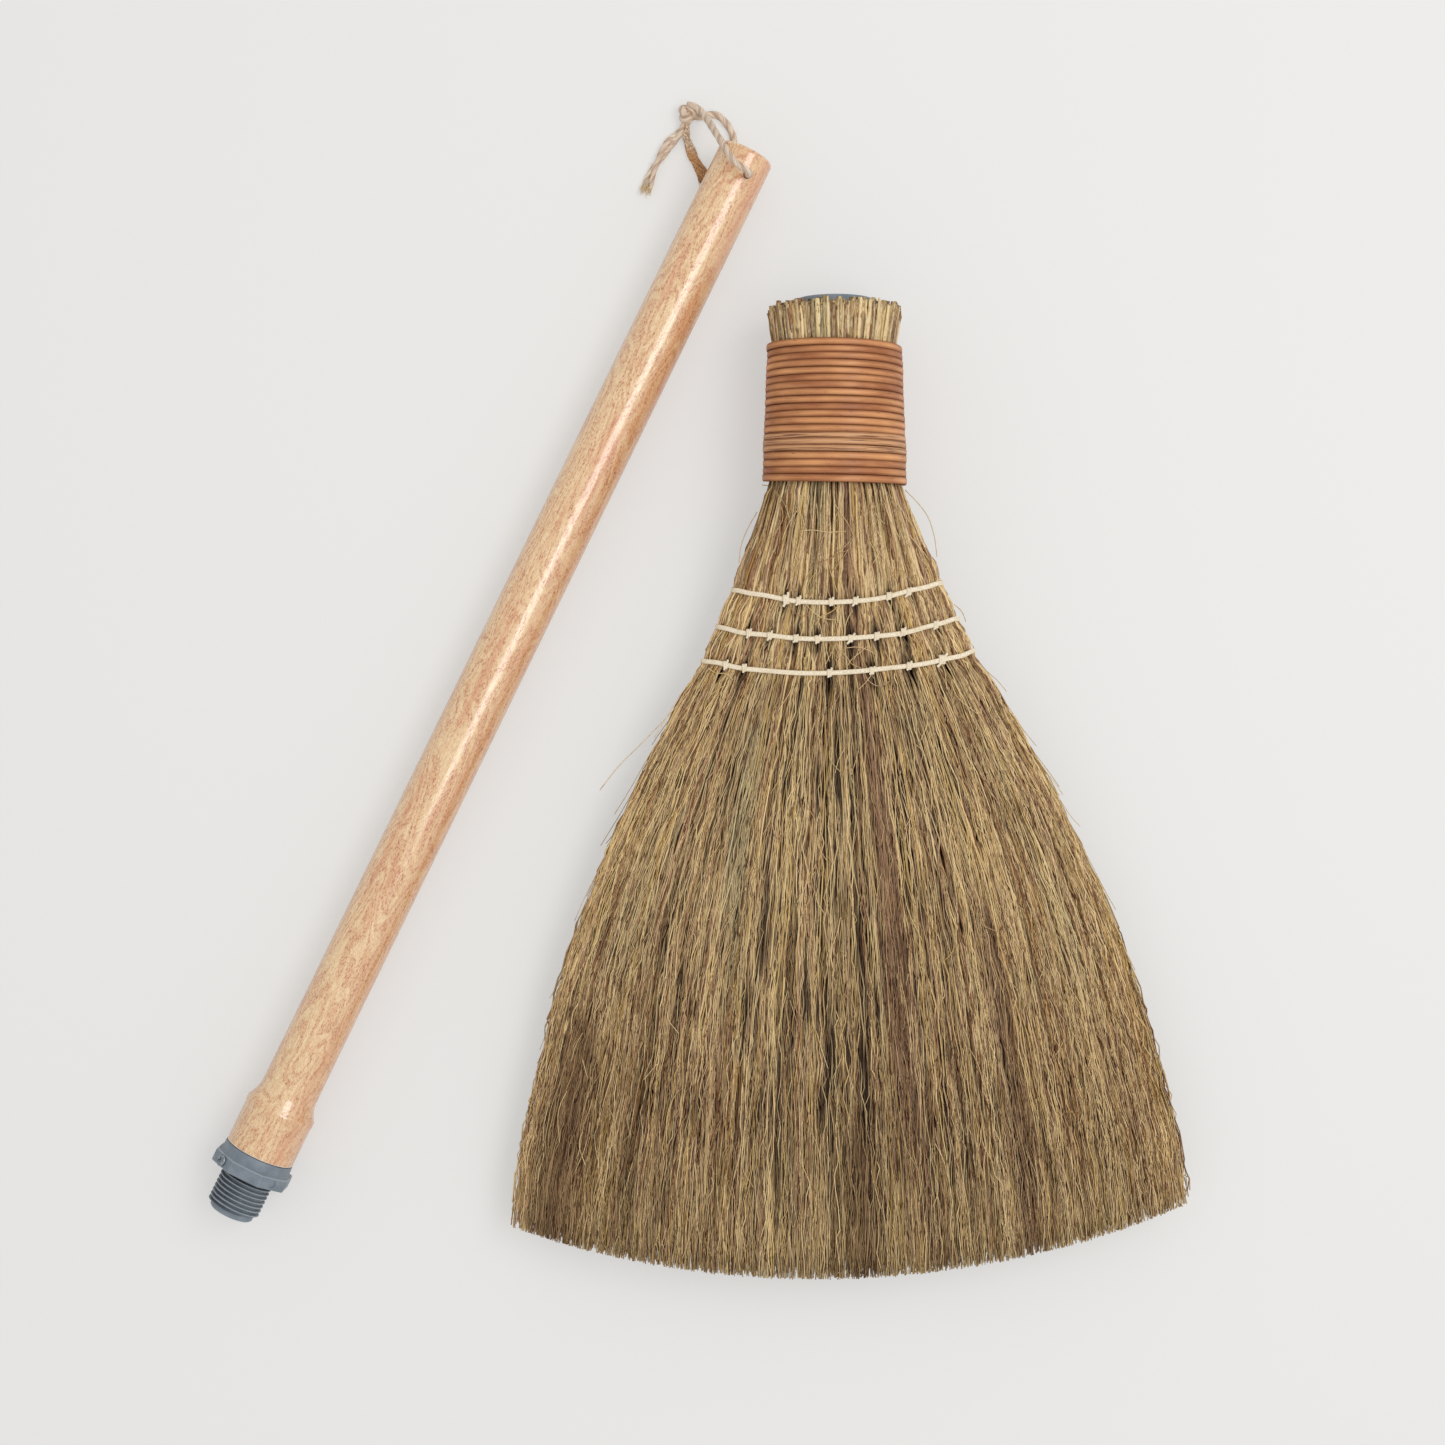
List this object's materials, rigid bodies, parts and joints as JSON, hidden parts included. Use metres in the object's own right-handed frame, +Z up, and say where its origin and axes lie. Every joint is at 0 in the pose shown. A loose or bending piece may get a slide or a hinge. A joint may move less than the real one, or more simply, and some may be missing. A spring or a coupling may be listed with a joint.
{
  "type": "straw broom",
  "caption": "Straw broom taken apart: fan-shaped sewn head with a wound neck and threaded socket, and a screw-in handle with a hanging loop.",
  "frame": {"origin": "under the middle of the whole layout, on the table that the head and the handle lie on", "axes": "+Y along the head from its tips to its socket's rim, +Z up from the table, +X to the right of the picture"},
  "size_m": [0.3883, 0.4619, 0.0561],
  "materials": {
    "stalk_straw": "dry cut stalks",
    "tip_straw": "dry straw",
    "rattan": "satin split cane",
    "sewing_cord": "waxed flat cord",
    "grey_plastic": "satin moulded",
    "printed_film": "glossy wood-grain print",
    "wood": "turned bare wood",
    "screw_metal": "dull",
    "twine": "hairy jute"
  },
  "bodies": {
    "head": {"socket_fitting": "grey_plastic", "straw_bundle_01": "stalk_straw", "straw_bundle_02": "stalk_straw", "straw_bundle_03": "stalk_straw", "straw_bundle_04": "stalk_straw", "straw_bundle_05": "stalk_straw", "straw_bundle_06": "stalk_straw", "straw_bundle_07": "stalk_straw", "straw_bundle_08": "stalk_straw", "straw_bundle_09": "stalk_straw", "straw_bundle_10": "stalk_straw", "straw_bundle_11": "stalk_straw", "straw_bundle_12": "stalk_straw", "rattan_wrap_upper": "rattan", "rattan_wrap_lower": "rattan", "stitch_row_1": "sewing_cord", "stitch_row_2": "sewing_cord", "stitch_row_3": "sewing_cord", "bristle_fan_1": "tip_straw", "bristle_fan_2": "tip_straw", "bristle_fan_3": "tip_straw", "bristle_fan_4": "tip_straw"},
    "handle": {"handle_rod": "wood", "grain_film_sleeve": "printed_film", "threaded_adapter": "grey_plastic", "adapter_screw": "screw_metal", "hanging_twine": "twine", "twine_knot": "twine", "twine_tail_long": "twine", "twine_tail_short": "twine"}
  },
  "joints": [
    {"name": "handle_lift", "type": "slide", "parent": "head", "child": "handle", "axis": [0, 0, 1], "range_m": [0, 0.3]}
  ]
}
